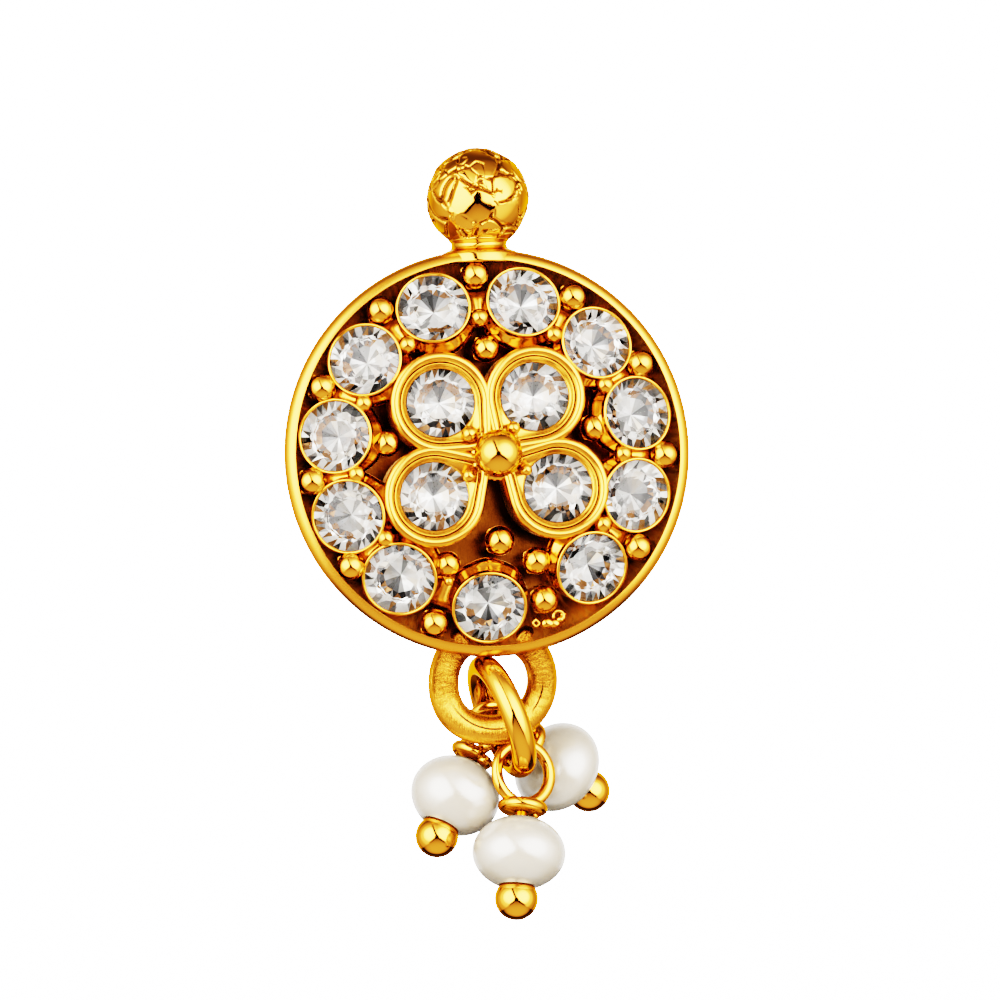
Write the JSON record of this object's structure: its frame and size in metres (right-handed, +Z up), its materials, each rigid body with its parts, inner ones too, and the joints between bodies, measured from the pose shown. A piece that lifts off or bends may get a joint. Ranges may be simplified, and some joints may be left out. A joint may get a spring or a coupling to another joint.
{
  "type": "nose pin",
  "caption": "Round gold nose pin with a rimmed cup of set glass stones and beads, a ball on top, pearl drops below and a straight post at the back.",
  "frame": {"origin": "centre of the cup's flat back face, where the post leaves it", "axes": "+Z up from the pearl drops to the top ball, -Y out of the jewelled face, +Y along the post, +X to the right of a viewer who faces the stones"},
  "size_m": [0.012, 0.0099, 0.0231],
  "materials": {
    "polished_gold": "polished gold plate over brass",
    "wire_gold": "polished gold plated wire",
    "cut_glass": "clear cut glass with silver foil behind",
    "pearl": "warm white pearl lustre"
  },
  "bodies": {
    "root": {"setting_head": "polished_gold", "jump_ring": "wire_gold", "outer_stone_01": "cut_glass", "outer_stone_02": "cut_glass", "outer_stone_03": "cut_glass", "outer_stone_04": "cut_glass", "outer_stone_05": "cut_glass", "outer_stone_06": "cut_glass", "outer_stone_07": "cut_glass", "outer_stone_08": "cut_glass", "outer_stone_09": "cut_glass", "outer_stone_10": "cut_glass", "outer_stone_11": "cut_glass", "petal_stone_upper_left": "cut_glass", "petal_stone_upper_right": "cut_glass", "petal_stone_lower_right": "cut_glass", "petal_stone_lower_left": "cut_glass", "drop_pin_left": "wire_gold", "drop_pin_right": "wire_gold", "drop_pin_middle": "wire_gold", "pearl_left": "pearl", "pearl_right": "pearl", "pearl_middle": "pearl"}
  },
  "joints": []
}
